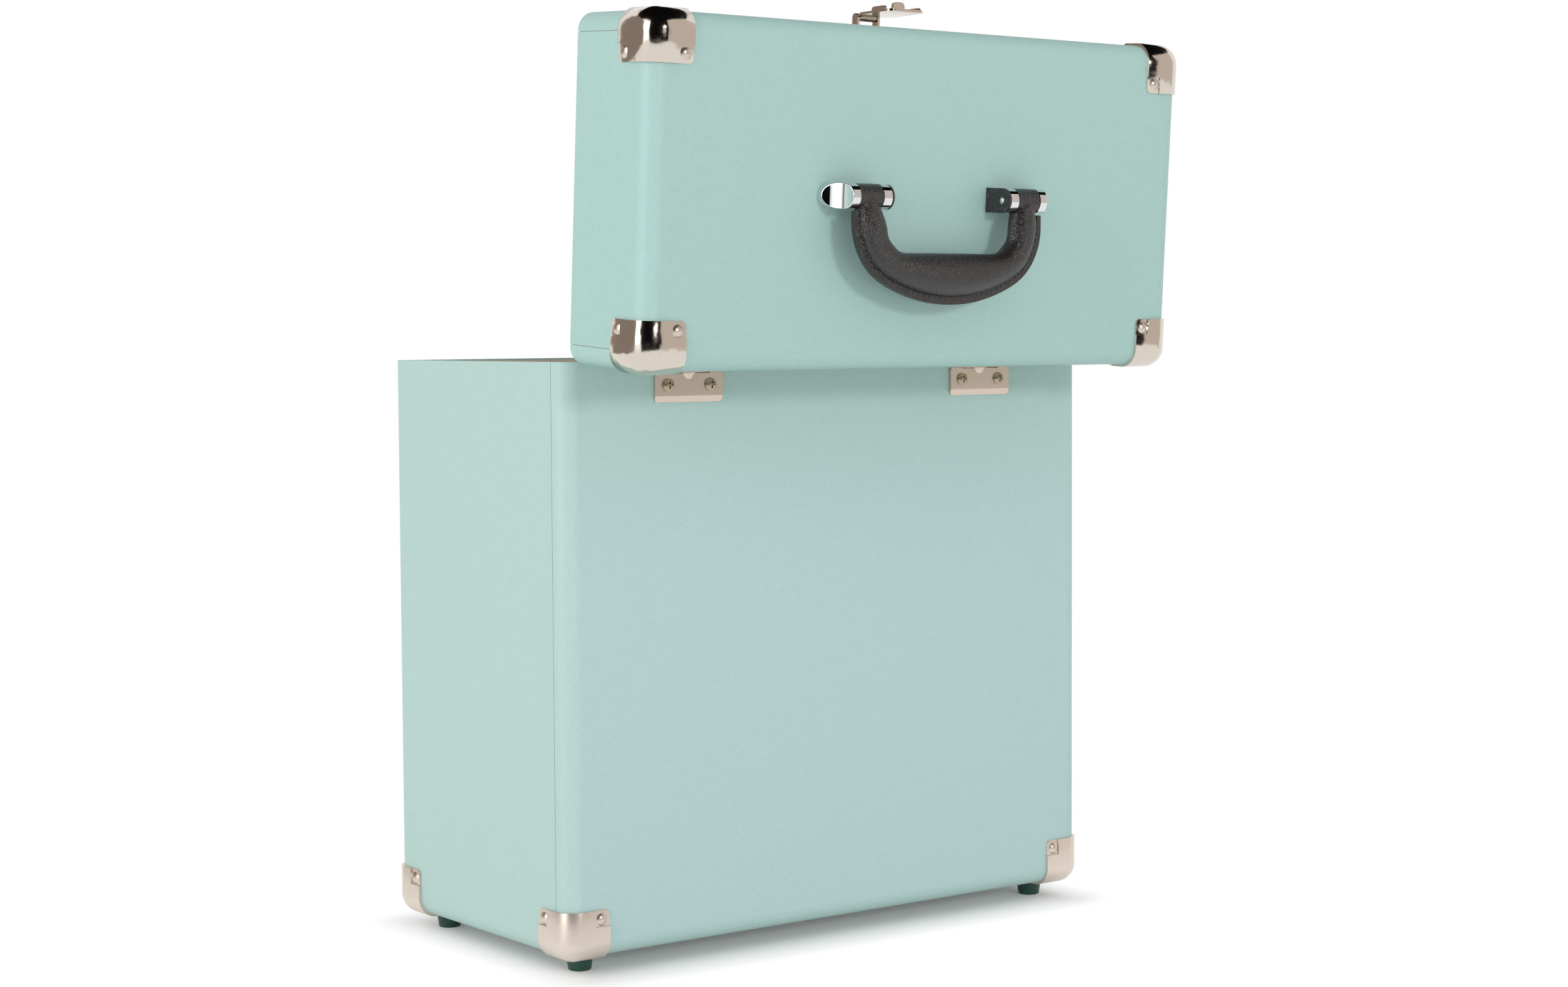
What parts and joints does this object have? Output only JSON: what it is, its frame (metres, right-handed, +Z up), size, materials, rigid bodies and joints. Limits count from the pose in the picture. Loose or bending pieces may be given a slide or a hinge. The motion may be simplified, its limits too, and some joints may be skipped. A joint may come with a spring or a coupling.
{
  "type": "record storage case",
  "caption": "Upright covered record box with a rear-hinged lid, metal corners, rubber feet, a swing handle on the lid and a front hasp latch.",
  "frame": {"origin": "middle of the box's footprint on the floor, under the feet", "axes": "+Z up, +Y towards the hinged back, +X to the right of someone facing the latch side"},
  "size_m": [0.354, 0.2773, 0.4962],
  "materials": {
    "leatherette": "fine pebble grain, mint",
    "board": "raw fibreboard, hidden under the cover",
    "lining": "taupe woven lining",
    "nickel": "bright nickel plate",
    "satin_nickel": "satin nickel plate",
    "chrome": "polished chrome",
    "grip_black": "black leather-grain moulding with a stitched welt",
    "plug_plastic": "black, textured",
    "foot_rubber": "dark green, semi-matt"
  },
  "bodies": {
    "case": {"box_base": "board", "box_front": "board", "box_back": "board", "box_left": "board", "box_right": "board", "box_cover": "leatherette", "box_back_cover": "leatherette", "box_lining": "lining", "box_corner_front_left": "nickel", "foot_front_left": "foot_rubber", "box_corner_front_right": "nickel", "foot_front_right": "foot_rubber", "box_corner_back_left": "nickel", "foot_back_left": "foot_rubber", "box_corner_back_right": "nickel", "foot_back_right": "foot_rubber", "box_corner_rivets": "nickel", "latch_keeper_rivets": "nickel", "foot_screws": "satin_nickel", "hinge_pins": "satin_nickel", "hinge_box_screws": "satin_nickel", "hinge_box_leaf_left": "satin_nickel", "hinge_box_leaf_right": "satin_nickel", "latch_keeper": "nickel"},
    "lid": {"lid_top": "board", "lid_front": "board", "lid_back": "board", "lid_left": "board", "lid_right": "board", "lid_cover": "leatherette", "lid_front_cover": "leatherette", "lid_back_cover": "leatherette", "lid_lining": "lining", "lid_corner_front_left": "nickel", "lid_corner_front_right": "nickel", "lid_corner_back_left": "nickel", "lid_corner_back_right": "nickel", "lid_corner_rivets": "nickel", "hinge_lid_screws": "satin_nickel", "hinge_lid_leaf_left": "satin_nickel", "hinge_lid_leaf_right": "satin_nickel", "handle_mount_left": "chrome", "handle_plug_left": "plug_plastic", "handle_mount_right": "chrome", "handle_plug_right": "plug_plastic", "handle_pins": "satin_nickel", "latch_base": "nickel", "latch_base_rivets": "nickel", "latch_pin": "satin_nickel"},
    "handle": {"handle_grip": "grip_black"},
    "hasp": {"latch_hasp": "nickel", "latch_tongue": "satin_nickel"}
  },
  "joints": [
    {"name": "lid_hinge", "type": "hinge", "parent": "case", "child": "lid", "pos_m": [0, 0.0897, 0.3083], "axis": [1, 0, 0], "range_deg": [0, 93.7]},
    {"name": "handle_swing", "type": "hinge", "parent": "lid", "child": "handle", "pos_m": [0, 0.17519, 0.39366], "axis": [1, 0, 0], "range_deg": [-10, 172]},
    {"name": "hasp_swing", "type": "hinge", "parent": "lid", "child": "hasp", "pos_m": [0, 0.1114, 0.49048], "axis": [1, 0, 0], "range_deg": [0, 176.3]}
  ]
}
